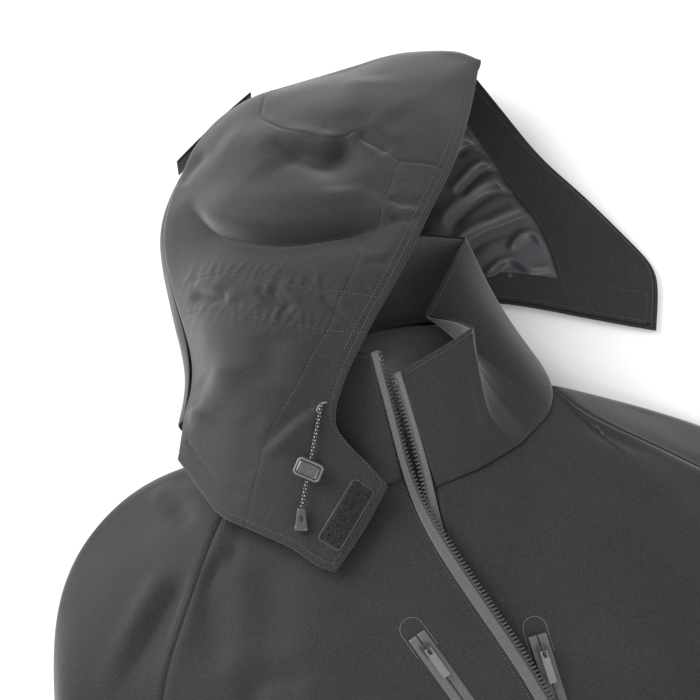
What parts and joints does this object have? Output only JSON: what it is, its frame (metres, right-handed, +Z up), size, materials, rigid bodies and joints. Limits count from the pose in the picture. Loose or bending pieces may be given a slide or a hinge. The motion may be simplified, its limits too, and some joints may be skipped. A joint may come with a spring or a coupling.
{
  "type": "hardshell jacket",
  "caption": "Lined hooded hardshell jacket lying on its back with the front unzipped, raglan sleeves beside it and the hood laid on its side behind the collar.",
  "frame": {"origin": "on the ground under the middle of the back panel, which lies flat", "axes": "+X towards the wearer's left, +Y from the hem towards the hood, +Z up out of the ground"},
  "size_m": [0.8495, 1.0123, 0.1371],
  "materials": {
    "shell_fabric": "matt woven charcoal laminate",
    "satin_lining": "smooth satin, blue-grey charcoal",
    "collar_fleece": "brushed dark tricot",
    "hook_loop": "hook and loop, black",
    "zip_tape": "laminated water-resistant tape, mid grey",
    "zip_teeth": "moulded",
    "dark_metal": "black coated zinc",
    "lock_metal": "satin",
    "lock_plastic": "moulded",
    "spring_steel": "wire",
    "cord": "braided, black with white flecks",
    "stiffener": "sheet"
  },
  "bodies": {
    "jacket": {"back_lining": "satin_lining", "back_panel": "shell_fabric", "collar_lining": "collar_fleece", "collar_shell": "shell_fabric", "front_zip_box": "zip_teeth", "front_zip_pin": "zip_teeth", "front_zip_tape_left": "zip_tape", "front_zip_tape_right": "zip_tape", "front_zip_teeth_left": "zip_teeth", "front_zip_teeth_right": "zip_teeth", "left_chest_pocket_bag": "satin_lining", "left_chest_zip_coil": "zip_teeth", "left_chest_zip_garage": "zip_tape", "left_chest_zip_tape": "zip_tape", "left_cuff": "shell_fabric", "left_cuff_loop_patch": "hook_loop", "left_front_panel": "shell_fabric", "left_hand_pocket_bag": "satin_lining", "left_hand_zip_coil": "zip_teeth", "left_hand_zip_tape": "zip_tape", "left_sleeve_top": "shell_fabric", "left_sleeve_under": "shell_fabric", "right_chest_pocket_bag": "satin_lining", "right_chest_zip_coil": "zip_teeth", "right_chest_zip_garage": "zip_tape", "right_chest_zip_tape": "zip_tape", "right_cuff": "shell_fabric", "right_cuff_loop_patch": "hook_loop", "right_front_panel": "shell_fabric", "right_hand_pocket_bag": "satin_lining", "right_hand_zip_coil": "zip_teeth", "right_hand_zip_tape": "zip_tape", "right_sleeve_top": "shell_fabric", "right_sleeve_under": "shell_fabric"},
    "front_zip_slider": {"front_zip_slider": "dark_metal"},
    "front_zip_puller": {"front_zip_puller": "dark_metal"},
    "right_chest_zip_slider": {"right_chest_zip_slider": "dark_metal"},
    "right_chest_zip_puller": {"right_chest_zip_puller": "dark_metal"},
    "left_chest_zip_slider": {"left_chest_zip_slider": "dark_metal"},
    "left_chest_zip_puller": {"left_chest_zip_puller": "dark_metal"},
    "right_hand_zip_slider": {"right_hand_zip_slider": "dark_metal"},
    "right_hand_zip_puller": {"right_hand_zip_puller": "dark_metal"},
    "left_hand_zip_slider": {"left_hand_zip_slider": "dark_metal"},
    "left_hand_zip_puller": {"left_hand_zip_puller": "dark_metal"},
    "right_cuff_tab": {"right_cuff_tab": "shell_fabric"},
    "left_cuff_tab": {"left_cuff_tab": "shell_fabric"},
    "hood": {"hood_right_panel": "shell_fabric", "hood_centre_panel": "shell_fabric", "hood_left_panel": "shell_fabric", "hood_right_lining": "satin_lining", "hood_left_lining": "satin_lining", "hood_brim_stiffener": "stiffener", "hood_hook_patch": "hook_loop", "drawcord_eyelet": "dark_metal", "drawcord": "cord", "cord_end": "lock_plastic"},
    "hood_tab": {"hood_back_tab": "shell_fabric"},
    "cordlock": {"cordlock_body": "lock_plastic", "cordlock_spring": "spring_steel"},
    "cordlock_button": {"cordlock_button": "lock_metal"}
  },
  "joints": [
    {"name": "front_zip_slide", "type": "slide", "parent": "jacket", "child": "front_zip_slider", "axis": [0, 0.9973, 0.0728], "range_m": [0, 0.36]},
    {"name": "front_zip_puller_flip", "type": "hinge", "parent": "front_zip_slider", "child": "front_zip_puller", "pos_m": [0.0138, -0.37829, 0.04482], "axis": [-1, 0, 0], "range_deg": [0, 150]},
    {"name": "right_chest_zip_slide", "type": "slide", "parent": "jacket", "child": "right_chest_zip_slider", "axis": [0.1861, -0.9803, -0.0657], "range_m": [0, 0.128]},
    {"name": "right_chest_zip_puller_flip", "type": "hinge", "parent": "right_chest_zip_slider", "child": "right_chest_zip_puller", "pos_m": [-0.0537, 0.14588, 0.084], "axis": [-0.9824, -0.1865, 0], "range_deg": [0, 150]},
    {"name": "left_chest_zip_slide", "type": "slide", "parent": "jacket", "child": "left_chest_zip_slider", "axis": [-0.162, -0.9842, -0.0712], "range_m": [0, 0.032]},
    {"name": "left_chest_zip_puller_flip", "type": "hinge", "parent": "left_chest_zip_slider", "child": "left_chest_zip_puller", "pos_m": [0.01799, 0.1128, 0.07357], "axis": [-0.9867, 0.1624, 0], "range_deg": [0, 150]},
    {"name": "right_hand_zip_slide", "type": "slide", "parent": "jacket", "child": "right_hand_zip_slider", "axis": [-0.2345, -0.9672, -0.0974], "range_m": [0, 0.138]},
    {"name": "right_hand_zip_puller_flip", "type": "hinge", "parent": "right_hand_zip_slider", "child": "right_hand_zip_puller", "pos_m": [-0.15294, -0.11714, 0.05469], "axis": [-0.9719, 0.2356, 0], "range_deg": [0, 150]},
    {"name": "left_hand_zip_slide", "type": "slide", "parent": "jacket", "child": "left_hand_zip_slider", "axis": [0.2345, -0.9672, -0.0974], "range_m": [0, 0.138]},
    {"name": "left_hand_zip_puller_flip", "type": "hinge", "parent": "left_hand_zip_slider", "child": "left_hand_zip_puller", "pos_m": [0.15294, -0.11714, 0.05469], "axis": [-0.9719, -0.2356, 0], "range_deg": [0, 150]},
    {"name": "right_cuff_tab_lift", "type": "hinge", "parent": "jacket", "child": "right_cuff_tab", "pos_m": [-0.36799, -0.27311, 0.0359], "axis": [0.2524, 0.9676, 0], "range_deg": [0, 120]},
    {"name": "left_cuff_tab_lift", "type": "hinge", "parent": "jacket", "child": "left_cuff_tab", "pos_m": [0.3233, -0.32568, 0.0359], "axis": [0.1266, -0.9919, 0], "range_deg": [0, 120]},
    {"name": "hood_lift_off", "type": "slide", "parent": "jacket", "child": "hood", "axis": [0, 0.8, 0.6], "range_m": [0, 0.12]},
    {"name": "hood_tab_lift", "type": "hinge", "parent": "hood", "child": "hood_tab", "pos_m": [0.01501, 0.61042, 0.027], "axis": [0, 0, -1], "range_deg": [0, 80]},
    {"name": "cordlock_slide", "type": "slide", "parent": "hood", "child": "cordlock", "axis": [-0.5692, -0.7663, -0.2979], "range_m": [-0.008, 0.018]},
    {"name": "cordlock_button_press", "type": "slide", "parent": "cordlock", "child": "cordlock_button", "axis": [0.2155, 0.2278, -0.9496], "range_m": [0, 0.0015], "stiffness_N_per_m": 400, "springref_m": -0.002, "deforming": ["cordlock_spring"]}
  ]
}
